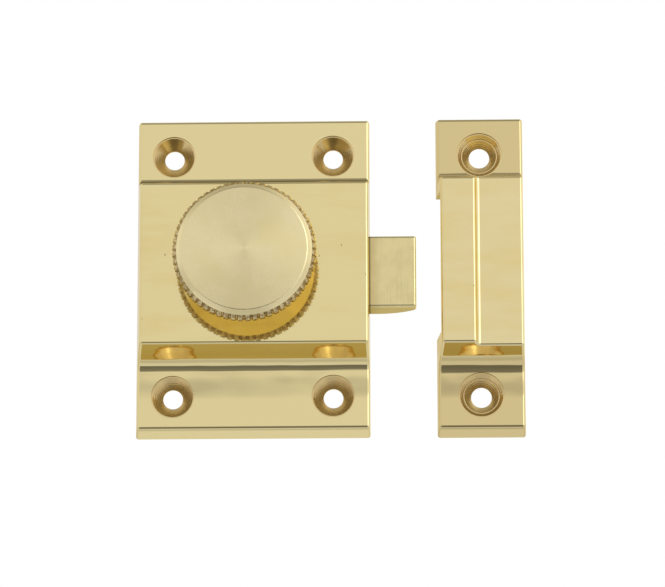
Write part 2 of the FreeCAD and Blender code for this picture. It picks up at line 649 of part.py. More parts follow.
def make_latch_bolt():
    """The bolt: a thick head with a rounded back, and a thin tail with the pin's notch and an ear."""
    body = new_body("latch_bolt")
    plan = new_sketch(body, "bolt_plan", "XY", BOLT_FOOT)
    draw_bolt_plan(plan)
    add_feature(body, "Pad", "bolt_head", plan, Length="bolt_height")
    round_edges(body, "bolt_edges", "bolt_round", is_bolt_front_edge)
    tail = new_sketch(body, "tail_outline", "XZ", BOLT_BACK)
    draw_tail(tail)
    add_feature(body, "Pad", "tail", tail, Length=TAIL_THICK)
    ear = new_sketch(body, "ear_outline", "XZ", BOLT_BACK)
    draw_rectangle(ear, "ear_place - ear_thick/2", "ear_place + ear_thick/2",
                   BOLT_TOP, f"{SPRING_HIGH} + spring_dia/2")
    add_feature(body, "Pad", "ear", ear, Length=f"{SPRING_BACK} + spring_dia/2 - ({BOLT_BACK})")
    hole = new_sketch(body, "guide_hole_circle", "YZ")
    draw_circle(hole, f"-{SPRING_BACK}", SPRING_HIGH, "guide_dia + 2*thread_gap")
    drill = add_feature(body, "Pocket", "guide_hole", hole, Length="ear_place + ear_thick")
    drill.Reversed = True
    return body


def draw_bolt_plan(sketch):
    """The bolt head from above: flat front, square rear, back rounded off towards the tip."""
    back, start = f"-({BOLT_BACK})", f"{BOLT_TIP} - nose_run"
    front = f"-{BOLT_FACE}"
    corners = [(BOLT_TIP, f"{front} + bolt_nose"), (BOLT_TIP, front), (BOLT_ROOT, front),
               (BOLT_ROOT, back), (start, back)]
    points = [Vector(value(across), value(up), 0) for across, up in corners]
    for n in range(4):
        sketch.addGeometry(Part.LineSegment(points[n], points[n + 1]))
    run, drop = value("nose_run"), points[4].y - points[0].y
    radius = (run ** 2 + drop ** 2) / (2 * drop)
    circle = Part.Circle(Vector(points[4].x, points[4].y - radius, 0), Vector(0, 0, 1), radius)
    nose = sketch.addGeometry(Part.ArcOfCircle(circle, math.asin((radius - drop) / radius), math.pi / 2))
    for n in range(3):
        sketch.addConstraint(Sketcher.Constraint("Coincident", n, 2, n + 1, 1))
    sketch.addConstraint(Sketcher.Constraint("Tangent", nose, 2, 3, 2))
    sketch.addConstraint(Sketcher.Constraint("Coincident", nose, 1, 0, 1))
    for n, (across, up) in enumerate(corners[:4]):
        pin_point(sketch, n, 1, across, up)
    pin_point(sketch, 3, 2, *corners[4])


def is_bolt_front_edge(edge):
    """Says whether an edge bounds the bolt's front face, or is the tip's top or bottom edge."""
    at = middle(edge)
    on_front = near(at.y, f"-{BOLT_FACE}") and at.x > value(BOLT_ROOT) + 0.01
    return on_front or (runs(edge, ALONG_Y) and near(at.x, BOLT_TIP))


def draw_tail(sketch):
    """The tail from the front: a bar with an ear above and a notched lug below, which stops on a boss."""
    left, right = f"{PIN_ACROSS} - lug_width/2", f"{CAVITY_SIDE} - corner_boss - bolt_gap"
    notch = "(pin_dia/2 + pin_gap)"
    foot = f"{BOLT_FOOT} - lug_drop"
    notch_top = f"{PIN_HIGH} + {notch}"
    ear_top = f"{SPRING_HIGH} + spring_dia/2"
    draw_outline(sketch, [
        (f"{BOLT_ROOT} + bolt_round", BOLT_TOP), ("ear_place + ear_thick/2", BOLT_TOP),
        ("ear_place + ear_thick/2", ear_top), ("ear_place - ear_thick/2", ear_top),
        ("ear_place - ear_thick/2", BOLT_TOP), (left, BOLT_TOP), (left, foot),
        (f"{PIN_ACROSS} - {notch}", foot), (f"{PIN_ACROSS} - {notch}", notch_top),
        (f"{PIN_ACROSS} + {notch}", notch_top), (f"{PIN_ACROSS} + {notch}", foot),
        (right, foot), (right, BOLT_FOOT), (f"{BOLT_ROOT} + bolt_round", BOLT_FOOT),
    ])


def make_spring_guide():
    """The headed rod in the bolt's ear that the return spring slides over."""
    rod = doc.addObject("Part::Cylinder", "guide_rod")
    head = doc.addObject("Part::Cylinder", "guide_head")
    ear_right = "ear_place + ear_thick/2"
    for piece in (rod, head):
        piece.Placement = FreeCAD.Placement(Vector(), SIDEWAYS)
        bind(piece, Placement_y=f"-{SPRING_BACK}", Placement_z=SPRING_HIGH)
    bind(rod, Radius="guide_dia/2", Height="guide_reach + ear_thick", Placement_x=ear_right)
    bind(head, Radius="spring_dia/2 - spring_wire/2", Height="guide_collar",
         Placement_x=f"{ear_right} + guide_collar")
    guide = doc.addObject("Part::Fuse", "spring_guide")
    guide.Label = "spring_guide"
    guide.Base, guide.Tool = rod, head
    return guide


def make_return_spring():
    """The compression spring between the case's left wall and the bolt's ear."""
    coil = doc.addObject("Part::Helix", "coil_line")
    wire = doc.addObject("Part::Circle", "coil_section")
    start = "ear_place - ear_thick/2 - stack_gap - spring_wire/2"
    length = f"({start}) + {CAVITY_SIDE} + seat_depth - stack_gap - spring_wire/2"
    coil.Placement = FreeCAD.Placement(Vector(), SIDEWAYS)
    bind(coil, Radius="(spring_dia - spring_wire)/2", Height=length, Pitch=f"({length})/spring_turns",
         Placement_x=start, Placement_y=f"-{SPRING_BACK}", Placement_z=SPRING_HIGH)
    wire.Placement = FreeCAD.Placement(Vector(), FORWARD)
    bind(wire, Radius="spring_wire/2", Placement_x=start, Placement_y=f"-{SPRING_BACK}",
         Placement_z=f"{SPRING_HIGH} + (spring_dia - spring_wire)/2")
    doc.recompute()
    spring = doc.addObject("Part::Sweep", "return_spring")
    spring.Label = "return_spring"
    spring.Sections = [wire]
    spring.Spine = (coil, [])
    spring.Solid = True
    spring.Frenet = True
    return spring


def make_keep():
    """The box keep: a bridge between two screw flanges, open at the back and towards the bolt."""
    body = new_body("keep")
    side = new_sketch(body, "side_view", "YZ", KEEP_LEFT)
    draw_outline(side, flanged_profile("keep_height", "keep_face_low", "keep_face_high", "keep_depth"))
    add_feature(body, "Pad", "block", side, Length="keep_width")
    lean_sides(body, KEEP_LEFT, KEEP_RIGHT, "keep_depth")
    step = new_sketch(body, "step_plan", "XY")
    low = "-keep_depth + lip_step"
    edge = f"{KEEP_LEFT} + lip_width"
    draw_outline(step, [
        (edge, "-keep_depth"), (f"{edge} + step_run", low), (f"{KEEP_RIGHT} + {OVERRUN}", low),
        (f"{KEEP_RIGHT} + {OVERRUN}", f"-keep_depth - {OVERRUN}"), (edge, f"-keep_depth - {OVERRUN}"),
    ])
    cut_through(body, "lip_step", step)

    def at_step_foot(line):
        at = middle(line)
        return runs(line, ALONG_Z) and near(at.x, f"{edge} + step_run") and near(at.y, low)

    round_edges(body, "step_foot", "step_fillet", at_step_foot)
    round_casting(body, "keep_height", "keep_face_low", "keep_face_high", "keep_foot_fillet")
    hollow_keep(body)
    holes = [(KEEP_CENTRE, "screw_pitch/2"), (KEEP_CENTRE, "-screw_pitch/2")]
    sink_holes(body, holes, "keep_hole", "keep_sink")
    step_sinks(body, holes)
    return body


def step_sinks(body, centres):
    """Turns a small step in the keep's countersinks."""
    ring_depth = "(sink_rim + (keep_sink - keep_ring)/2 - sink_ledge + ring_step)"
    ring = new_sketch(body, "ring_circles", "XZ", f"flange_thick - {ring_depth}")
    for across, up in centres:
        draw_circle(ring, across, up, "keep_ring")
    cut_forward(body, "sink_steps", ring, ring_depth)


def hollow_keep(body):
    """Cuts the pocket that the bolt enters, deeper under the lip than behind it."""
    foot, top = "-keep_face_low + keep_end_wall", "keep_face_high - keep_end_wall"
    lip = new_sketch(body, "lip_pocket_outline", "XZ")
    draw_rectangle(lip, f"{KEEP_LEFT} - {OVERRUN}", f"{KEEP_LEFT} + lip_width - keep_wall", foot, top)
    cut_forward(body, "lip_pocket", lip, "keep_depth - keep_wall")
    rest = new_sketch(body, "pocket_outline", "XZ")
    draw_rectangle(rest, f"{KEEP_LEFT} - {OVERRUN}", f"{KEEP_RIGHT} - keep_wall", foot, top)
    cut_forward(body, "pocket", rest, "keep_depth - lip_step - keep_wall")


def check_document():
    """Stops if anything in the document failed to build."""
    for thing in doc.Objects:
        if {"Invalid", "Error"} & set(thing.State):
            raise RuntimeError(f"{thing.Label} did not build: {thing.State}")


def main():
    """Builds the sub-parts, checks them and writes one STEP file for each."""
    washer_start = "case_depth + stack_gap"
    parts = [
        make_case(),
        make_back_plate(),
        make_cover_screws(),
        make_knob(),
        make_spindle(),
        make_washer("neck_washer", "neck_dia", washer_start, "washer_thick"),
        make_washer("thrust_washer", "cam_hub", f"{CAM_FRONT} + stack_gap", "shim_thick"),
        make_cam_plate(),
        make_cam_pin(),
        make_latch_bolt(),
        make_spring_guide(),
        make_return_spring(),
        make_keep(),
    ]
    doc.recompute()
    check_document()
    for part in parts:
        if part.Shape.isNull() or not part.Shape.isValid():
            raise RuntimeError(f"{part.Label} has no valid shape")
    os.makedirs("parts", exist_ok=True)
    for part in parts:
        part.Shape.exportStep(f"parts/{part.Label}.step")
        print(f"{part.Label}: {len(part.Shape.Solids)} solids, {part.Shape.Volume:.1f} mm3")


main()
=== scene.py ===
import math
from collections import namedtuple

import bpy
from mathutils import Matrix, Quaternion, Vector


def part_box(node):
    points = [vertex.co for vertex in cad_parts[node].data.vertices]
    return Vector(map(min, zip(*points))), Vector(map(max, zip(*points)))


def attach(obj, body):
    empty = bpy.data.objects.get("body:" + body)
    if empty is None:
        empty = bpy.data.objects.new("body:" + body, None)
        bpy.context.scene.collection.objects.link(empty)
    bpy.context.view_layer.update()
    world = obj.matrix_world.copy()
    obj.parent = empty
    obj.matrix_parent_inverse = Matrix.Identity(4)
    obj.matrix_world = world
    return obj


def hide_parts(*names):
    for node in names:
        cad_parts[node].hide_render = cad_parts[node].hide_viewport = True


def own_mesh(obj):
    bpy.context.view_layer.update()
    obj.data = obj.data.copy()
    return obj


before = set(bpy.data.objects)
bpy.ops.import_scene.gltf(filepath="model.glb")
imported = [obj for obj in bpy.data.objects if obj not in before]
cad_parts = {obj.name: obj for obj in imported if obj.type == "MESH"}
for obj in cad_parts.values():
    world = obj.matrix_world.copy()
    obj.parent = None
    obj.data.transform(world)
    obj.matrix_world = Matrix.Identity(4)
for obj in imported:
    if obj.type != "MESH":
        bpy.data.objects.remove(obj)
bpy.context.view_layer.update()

# The looks of a cast and turned brass cupboard latch, as a product picture on white: materials, light,
# floor and camera. Metres, in the frame of the part: X towards the keep, Z up, the front faces -Y.

MM = 0.001

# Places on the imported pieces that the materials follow
BOLT_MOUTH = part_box("case")[1].x
KEEP_LOW, KEEP_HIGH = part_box("keep")
KEEP_CENTRE = (KEEP_LOW.x + KEEP_HIGH.x) / 2
KNOB_LOW, KNOB_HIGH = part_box("knob")
KNOB_X = (KNOB_LOW.x + KNOB_HIGH.x) / 2
KNOB_Z = (KNOB_LOW.z + KNOB_HIGH.z) / 2

# The screw holes of both castings, from just behind the flange's front to just before its back
SCREW_UP = 27.0 * MM
SINK_FRONT = -2.95 * MM
SINK_BACK = -0.1 * MM

# The milled band of the knob, a round crest of one radius that is cut off at both edges; how deep below
# the crest the browning by grime and painted shade begins and is full; and where the band gives way to the
# knob's face
KNOB_RADIUS = 15.5 * MM
BAND_CREST = -17.875 * MM
BAND_ROUND = 2.0 * MM
BAND_HALF = 1.675 * MM
GROOVE_DEPTHS = (0.02 * MM, 0.22 * MM)
KNOB_FACE = (-19.8 * MM, -20.3 * MM)

# The scene's own return spring
SPRING_WIRE = 0.6 * MM
SPRING_TURNS = 9
STEPS_PER_TURN = 28
WIRE_SIDES = 10

# Brass as it is written in the material: the mirror colour of clean, unlacquered brass
BRASS = (0.90, 0.77, 0.40)
BRASS_DEEP = (0.87, 0.72, 0.34)
KNOB_BRASS = (0.96, 0.83, 0.49)
KNOB_SMUDGE = (0.94, 0.80, 0.43)
STEEL = (0.58, 0.57, 0.55)
# How brass looks at a glancing angle: less white than the shader's own default
BRASS_GLANCE = (0.86, 0.74, 0.44, 1.0)
# Wear and dirt, and painted shade: the corner colour is painted shade, the groove colour is grime and
# painted shade, and the bolt's two colours at its slot are painted shade and a painted shadow line
SINK_BROWN = (0.84, 0.65, 0.32)
# Painted shade for the corner above the raised block
CORNER_SHADE = (0.34, 0.27, 0.14)
CAST_PIT = (0.30, 0.22, 0.10)
KNOB_PIT = (0.35, 0.26, 0.12)
# Grime and painted shade in the knob's milled band
GROOVE_SHADE_AND_GRIME = (0.58, 0.42, 0.19)
GROOVE_FLECK = (0.30, 0.21, 0.09)
# Painted shade and a painted shadow line on the bolt, next to the mouth of its slot
BOLT_MOUTH_SHADE = (0.60, 0.44, 0.18)
BOLT_SHADOW_LINE = (0.16, 0.11, 0.04)
DARKER = 0.86

# What differs between the two castings: where their screw holes are and how wide the countersinks are,
# their colours, the height of the grinding waves at the foot, the top edge of the raised block's face,
# how strongly a painted shade darkens the corner above that edge, and how dull that corner is
Casting = namedtuple("Casting", "centre across sink brass flange foot_wave face_high grime dullness")
# The case's corner gets the painted shade; the keep's corner gets none and is only duller
CASE_CASTING = Casting(centre=0.0, across=17.4 * MM, sink=4.72 * MM, brass=BRASS,
                       flange=(0.89, 0.76, 0.40), foot_wave=0.34 * MM, face_high=19.5 * MM,
                       grime=0.85, dullness=0.0)
KEEP_CASTING = Casting(centre=KEEP_CENTRE, across=0.0, sink=5.02 * MM, brass=(0.90, 0.77, 0.43),
                       flange=(0.79, 0.65, 0.33), foot_wave=0.42 * MM, face_high=20.4 * MM,
                       grime=0.0, dullness=0.5)

# Marks on the castings: noise per metre along X, Y and Z, small along the marks, and their depths.
# Pits are given as cells per metre, their size in a cell, and the share of cells that has one.
POLISH_LINES = (45, 2200, 2200)
POLISH_SCRATCHES = (120, 7000, 7000)
GRINDING_WAVES = (55, 80, 80)
TONE_CLOUDS = (45, 170, 170)
LINE_DEPTH = 0.0012 * MM
SCRATCH_DEPTH = 0.0003 * MM
WAVE_DEPTH = 0.04 * MM
CAST_PITS = (210.0, 0.045, 0.22)
CAST_PIT_DEPTH = 0.03 * MM
RING_PITCH = 0.34 * MM
RING_DEPTH = 0.0025 * MM
# The lower flange is ground a little hollow towards the raised block
HOLLOW_START = 29.0 * MM
HOLLOW_TALL = 7.5 * MM
HOLLOW_DEPTH = 0.08 * MM
# Where the grinding waves come up and die away again, from below
FOOT_START = (-28.0 * MM, -22.5 * MM)
FOOT_END = (-17.5 * MM, -20.0 * MM)
# From the raised block back to the flange, whose colour differs a little
FLANGE_FADE = (-5.0 * MM, -3.2 * MM)
# The corner above the raised block: how far its middle is from the back, half its reach, its soft edge
CORNER_MIDDLE = 5.85 * MM
CORNER_HALF = 2.75 * MM
CORNER_EDGE = 0.1 * MM

# Marks on the knob
LATHE_MARKS = 2600.0
KNOB_SMUDGES = 130.0
KNOB_WAVES = 120.0
KNOB_WAVE_DEPTH = 0.05 * MM
KNOB_PITS = (330.0, 0.05, 0.12)
KNOB_PIT_DEPTH = 0.02 * MM
FLECKS = 1700.0

# How rough the finishes are, and how much rougher some places are
POLISHED = (0.055, 0.095)
TURNED = (0.10, 0.15)
SINK_ROUGHER = 0.1
FACE_ROUGHER = 0.16
GRIME_ROUGHER = 0.25
# How far reflections are smeared by the marks, and the turn that puts the smear across them
CAST_SMEAR = 0.5
LATHE_SMEAR = 0.33
QUARTER_TURN = 0.25

# The grain of the other metals: noise per metre along each axis, small along the lines
BOLT_GRAIN = (2600, 2600, 60)
SHEET_GRAIN = (40, 1800, 1800)
SCREW_GRAIN = (900, 900, 900)
WASHER_GRAIN = (700, 700, 700)
STEEL_GRAIN = (900, 900, 900)
WIRE_GRAIN = (600, 2500, 2500)
BRUSH_DEPTH = 0.002 * MM
BOLT_DEPTH = 0.004 * MM

# How bright the room is, as (height, level): height is 0 straight down, 0.5 level and 1 straight up
FRONT_LEVELS = ((0.0, 0.6), (0.22, 0.15), (0.515, 0.23), (0.54, 0.52), (0.60, 0.80), (0.705, 0.83),
                (0.735, 0.48), (0.77, 0.34), (0.90, 0.32), (0.96, 0.40), (1.0, 0.44))
SIDE_LEVELS = ((0.0, 0.6), (0.2, 0.65), (0.5, 0.7), (0.58, 0.84), (0.78, 0.82), (0.96, 0.46), (1.0, 0.44))
BACK_LEVELS = ((0.0, 0.75), (0.35, 0.65), (0.47, 0.7), (0.53, 0.85), (0.75, 0.9), (0.96, 0.5), (1.0, 0.44))
# Where the front turns into the sides, along X either way, and into the back, along Y
FRONT_TO_SIDE = (0.15, 0.5)
FRONT_TO_BACK = (-0.15, 0.12)
# How the room changes from left to right, as (from X, to X, gain before, gain after)
RIGHT_GAINS = ((-0.6, 0.6, 0.92, 1.06), (0.05, 0.35, 1.0, 1.3), (0.45, 0.9, 1.0, 0.78))
STUDIO_TINT = (1.0, 0.99, 0.97, 1.0)
WHITE = (1.0, 1.0, 1.0, 1.0)

# The lamp
KEY_PLACE = (0.60, -0.88, 0.40)
KEY_SIZE = 0.55
KEY_WATTS = 0.85
KEY_COLOUR = (0.80, 0.90, 1.0)

# The floor, and how bright the metal sees it, as (place, level), from its front edge to its back edge
FLOOR_HALF = 1.5
FLOOR_HEIGHT = -0.8
FLOOR_PAINT = (0.62, 0.61, 0.59, 1.0)
FLOOR_LEVELS = ((0.0, 0.17), (0.145, 0.2), (0.18, 0.76), (0.333, 0.70), (0.377, 0.56), (0.433, 0.54),
                (0.5, 0.62), (0.6, 0.78), (1.0, 0.9))
FLOOR_SIDE_LEVEL = 0.7
FLOOR_TO_SIDE = (0.2, 0.6)

# The photo's view: from below and a little from the right, with a long lens
VIEW_AZIMUTH = 1.3
VIEW_ELEVATION = -14.8
VIEW_ROLL = -0.1
VIEW_DISTANCE = 0.95
AIM = Vector((17.4, -9.0, -5.7)) * MM
SENSOR = 36.0
FRAME_WIDTH = 665
FOCAL_PIXELS = 4398
NEAR_CLIP = 0.01


def node(tree, kind, inputs=None, **settings):
    """Adds a node; inputs maps a socket's name or number to a value or to another node's output."""
    made = tree.nodes.new(kind)
    for name, setting in settings.items():
        setattr(made, name, setting)
    for key, given in (inputs or {}).items():
        if isinstance(given, bpy.types.NodeSocket):
            tree.links.new(given, made.inputs[key])
        else:
            made.inputs[key].default_value = given
    return made


def calc(tree, operation, first, second=0.0, clamp=False):
    """Adds a math node and gives its output."""
    made = node(tree, "ShaderNodeMath", {0: first, 1: second}, operation=operation, use_clamp=clamp)
    return made.outputs[0]


def ramp(tree, number, start, end, low=0.0, high=1.0):
    """Gives a smooth step of a number from low at start to high at end."""
    inputs = {"Value": number, "From Min": start, "From Max": end, "To Min": low, "To Max": high}
    made = node(tree, "ShaderNodeMapRange", inputs, interpolation_type="SMOOTHSTEP")
    return made.outputs[0]


def blend_colours(tree, share, first, second):
    """Mixes two colours."""
    made = node(tree, "ShaderNodeMix", data_type="RGBA")
    for name, given in (("Factor_Float", share), ("A_Color", first), ("B_Color", second)):
        socket = next(s for s in made.inputs if s.identifier == name)
        if isinstance(given, bpy.types.NodeSocket):
            tree.links.new(given, socket)
        else:
            socket.default_value = (*given, 1.0)
    return next(s for s in made.outputs if s.identifier == "Result_Color")


def noise(tree, place, scale, detail, rough):
    """Gives a noise value, 0 to 1, over a position."""
    inputs = {"Vector": place, "Scale": scale, "Detail": detail, "Roughness": rough}
    return node(tree, "ShaderNodeTexNoise", inputs).outputs[0]


def stretched(tree, place, scales):
    """Scales a position by a different factor along each axis."""
    return node(tree, "ShaderNodeMapping", {"Vector": place, "Scale": scales}).outputs[0]


def bump(tree, height, depth, below=None):
    """Raises the surface by a height times a depth in metres, over an earlier bump."""
    inputs = {"Height": height, "Distance": depth, "Strength": 1.0}
    if below is not None:
        inputs["Normal"] = below
    return node(tree, "ShaderNodeBump", inputs).outputs[0]


def start_material(name):
    """Makes an empty material with a Principled shader and the object's own coordinates."""
    material = bpy.data.materials.new(name)
    material.use_nodes = True
    tree = material.node_tree
    tree.nodes.clear()
    shader = node(tree, "ShaderNodeBsdfPrincipled")
    out = node(tree, "ShaderNodeOutputMaterial", {"Surface": shader.outputs[0]})
    out.is_active_output = True
    place = node(tree, "ShaderNodeTexCoord").outputs["Object"]
    return material, tree, shader, place


def finish_metal(tree, shader, colour, rough, normal, glance=None):
    """Links a metal's colour, roughness and relief, and sets what is the same all over it."""
    tree.links.new(colour, shader.inputs["Base Color"])
    tree.links.new(rough, shader.inputs["Roughness"])
    tree.links.new(normal, shader.inputs["Normal"])
    shader.inputs["Metallic"].default_value = 1.0
    if glance is not None:
        shader.inputs["Specular Tint"].default_value = glance


def set_grain(tree, shader, direction, strength, turn=0.0):
    """Smears the reflections along a direction, or across it with a quarter turn."""
    tree.links.new(direction, shader.inputs["Tangent"])
    shader.inputs["Anisotropic"].default_value = strength
    shader.inputs["Anisotropic Rotation"].default_value = turn


def signed_offset(tree, number, centre, reach):
    """Gives how far a coordinate is beyond the nearer of two places mirrored about a centre."""
    from_centre = calc(tree, "SUBTRACT", number, centre)
    beyond = calc(tree, "SUBTRACT", calc(tree, "ABSOLUTE", from_centre), reach)
    return calc(tree, "MULTIPLY", beyond, calc(tree, "SIGN", from_centre))


def length_of(tree, across, up):
    """Gives the length of a flat vector."""
    squares = calc(tree, "ADD", calc(tree, "MULTIPLY", across, across), calc(tree, "MULTIPLY", up, up))
    return calc(tree, "SQRT", squares)


def pits(tree, place, cells, size, share):
    """Gives 1 in sparse small spots, as casting pits show on polished brass."""
    cell = node(tree, "ShaderNodeTexVoronoi", {"Vector": place, "Scale": cells, "Randomness": 1.0})
    spot = ramp(tree, cell.outputs["Distance"], size, size * 0.4)
    pick = node(tree, "ShaderNodeSeparateColor", {0: cell.outputs["Color"]}).outputs[0]
    return calc(tree, "MULTIPLY", spot, calc(tree, "LESS_THAN", pick, share))


def sink_share(tree, depth, radius, sink):
    """Gives 1 in the screw holes and their countersinks."""
    behind_front = calc(tree, "GREATER_THAN", depth, SINK_FRONT)
    before_back = calc(tree, "LESS_THAN", depth, SINK_BACK)
    in_hole = calc(tree, "MULTIPLY", behind_front, before_back)
    return calc(tree, "MULTIPLY", calc(tree, "LESS_THAN", radius, sink), in_hole)


def corner_share(tree, depth, height, face_high):
    """Gives 1 in the corner above the raised block, between its face and the flange."""
    above = ramp(tree, height, face_high - CORNER_EDGE, face_high)
    off_middle = calc(tree, "ABSOLUTE", calc(tree, "ADD", depth, CORNER_MIDDLE))
    return calc(tree, "MULTIPLY", above, calc(tree, "LESS_THAN", off_middle, CORNER_HALF))


def cast_relief(tree, place, height, lines, spots, rings, foot_wave):
    """Gives the relief of a casting: its ground foot, waves, polishing marks, pits and rings."""
    scratches = noise(tree, stretched(tree, place, POLISH_SCRATCHES), 1.0, 2.0, 0.5)
    waves = noise(tree, stretched(tree, place, GRINDING_WAVES), 1.0, 2.0, 0.5)
    to_foot = calc(tree, "DIVIDE", calc(tree, "ADD", height, HOLLOW_START), HOLLOW_TALL, clamp=True)
    near_foot = calc(tree, "MULTIPLY", ramp(tree, height, *FOOT_START), ramp(tree, height, *FOOT_END))
    normal = bump(tree, calc(tree, "POWER", to_foot, 2.0), HOLLOW_DEPTH)
    normal = bump(tree, calc(tree, "MULTIPLY", waves, near_foot), foot_wave, normal)
    normal = bump(tree, waves, WAVE_DEPTH, normal)
    normal = bump(tree, lines, LINE_DEPTH, normal)
    normal = bump(tree, scratches, SCRATCH_DEPTH, normal)
    normal = bump(tree, calc(tree, "MULTIPLY", spots, -1.0), CAST_PIT_DEPTH, normal)
    return bump(tree, rings, RING_DEPTH, normal)


def cast_colour(tree, place, depth, casting, in_corner, in_sink, spots):
    """Gives the colour of a casting: clouds of tone, its flanges, browner countersinks, painted shade in
    the corner above the raised block, and pits.
    """
    tone = noise(tree, stretched(tree, place, TONE_CLOUDS), 1.0, 3.0, 0.6)
    colour = blend_colours(tree, ramp(tree, tone, 0.35, 0.75), casting.brass, BRASS_DEEP)
    colour = blend_colours(tree, ramp(tree, depth, *FLANGE_FADE), colour, casting.flange)
    # Painted shade: the corner above the raised block's face is darkened towards a deep brown
    colour = blend_colours(tree, calc(tree, "MULTIPLY", in_corner, casting.grime), colour, CORNER_SHADE)
    colour = blend_colours(tree, in_sink, colour, SINK_BROWN)
    return blend_colours(tree, calc(tree, "MULTIPLY", spots, 0.6), colour, CAST_PIT)


def cast_grain(tree, out_x, out_z, in_sink):
    """Gives the direction of the marks: left to right, and out from the hole in a countersink."""
    outward = node(tree, "ShaderNodeCombineXYZ", {0: out_x, 2: out_z})
    lengthwise = node(tree, "ShaderNodeCombineXYZ", {0: 1.0})
    # A Mix node takes its share at socket 0 and its two vectors at 4 and 5, and gives a vector at 1
    mixed = {0: in_sink, 4: lengthwise.outputs[0], 5: outward.outputs[0]}
    grain = node(tree, "ShaderNodeMix", mixed, data_type="VECTOR")
    unit = node(tree, "ShaderNodeVectorMath", {0: grain.outputs[1]}, operation="NORMALIZE")
    return unit.outputs[0]


def cast_brass(name, casting):
    """A polished casting: faint marks left to right, a hand-ground foot, pits and turned countersinks."""
    material, tree, shader, place = start_material(name)
    across, depth, height = node(tree, "ShaderNodeSeparateXYZ", {0: place}).outputs
    lines = noise(tree, stretched(tree, place, POLISH_LINES), 1.0, 3.0, 0.6)
    spots = pits(tree, place, *CAST_PITS)
    out_x = signed_offset(tree, across, casting.centre, casting.across)
    out_z = signed_offset(tree, height, 0.0, SCREW_UP)
    radius = length_of(tree, out_x, out_z)
    in_sink = sink_share(tree, depth, radius, casting.sink)
    in_corner = corner_share(tree, depth, height, casting.face_high)
    turning = calc(tree, "SINE", calc(tree, "MULTIPLY", radius, 2 * math.pi / RING_PITCH))
    rings = calc(tree, "MULTIPLY", turning, in_sink)
    normal = cast_relief(tree, place, height, lines, spots, rings, casting.foot_wave)
    colour = cast_colour(tree, place, depth, casting, in_corner, in_sink, spots)
    rough = ramp(tree, lines, 0.3, 0.8, *POLISHED)
    rough = calc(tree, "ADD", rough, calc(tree, "MULTIPLY", in_sink, SINK_ROUGHER))
    rough = calc(tree, "ADD", rough, calc(tree, "MULTIPLY", in_corner, casting.dullness))
    finish_metal(tree, shader, colour, rough, normal, BRASS_GLANCE)
    set_grain(tree, shader, cast_grain(tree, out_x, out_z, in_sink), CAST_SMEAR)
    return material


def band_shade_and_grime(tree, depth, radius):
    """Gives 1 in the bottoms of the milled grooves and over the band's back half, less on the crests in
    front, and 0 off the band: grime and painted shade in the grooves, painted shade on the back half
    towards the case.
    """
    along = calc(tree, "DIVIDE", calc(tree, "SUBTRACT", depth, BAND_CREST), BAND_ROUND)
    square = calc(tree, "MULTIPLY", along, along)
    rise = calc(tree, "SQRT", calc(tree, "SUBTRACT", 1.0, square, clamp=True))
    crest = calc(tree, "ADD", calc(tree, "MULTIPLY", rise, BAND_ROUND), KNOB_RADIUS - BAND_ROUND)
    below_crest = calc(tree, "SUBTRACT", crest, radius)
    on_band = calc(tree, "LESS_THAN", calc(tree, "ABSOLUTE", along), BAND_HALF / BAND_ROUND)
    # Grime and painted shade, strongest in the groove bottoms
    in_groove = ramp(tree, below_crest, *GROOVE_DEPTHS, low=0.6)
    # Painted shade: the back half of the band, towards the case, is made fully dark
    deep = calc(tree, "MAXIMUM", in_groove, ramp(tree, along, 0.0, 0.6))
    return calc(tree, "MULTIPLY", deep, on_band)


def turned_colour(tree, place, grime, smudges, spots):
    """Gives the colour of the knob: smudges, a band browned by grime and painted shade, with dark flecks,
    and pits.
    """
    on_band = calc(tree, "MULTIPLY", grime, 1.8, clamp=True)
    flecks = calc(tree, "MULTIPLY", on_band, ramp(tree, noise(tree, place, FLECKS, 2.0, 0.6), 0.4, 0.6))
    colour = blend_colours(tree, ramp(tree, smudges, 0.35, 0.75), KNOB_BRASS, KNOB_SMUDGE)
    # Grime and painted shade: the band is browned, most in its grooves and on its back half
    colour = blend_colours(tree, calc(tree, "MULTIPLY", grime, 0.75), colour, GROOVE_SHADE_AND_GRIME)
    colour = blend_colours(tree, calc(tree, "MULTIPLY", flecks, 0.75), colour, GROOVE_FLECK)
    return blend_colours(tree, calc(tree, "MULTIPLY", spots, 0.5), colour, KNOB_PIT)


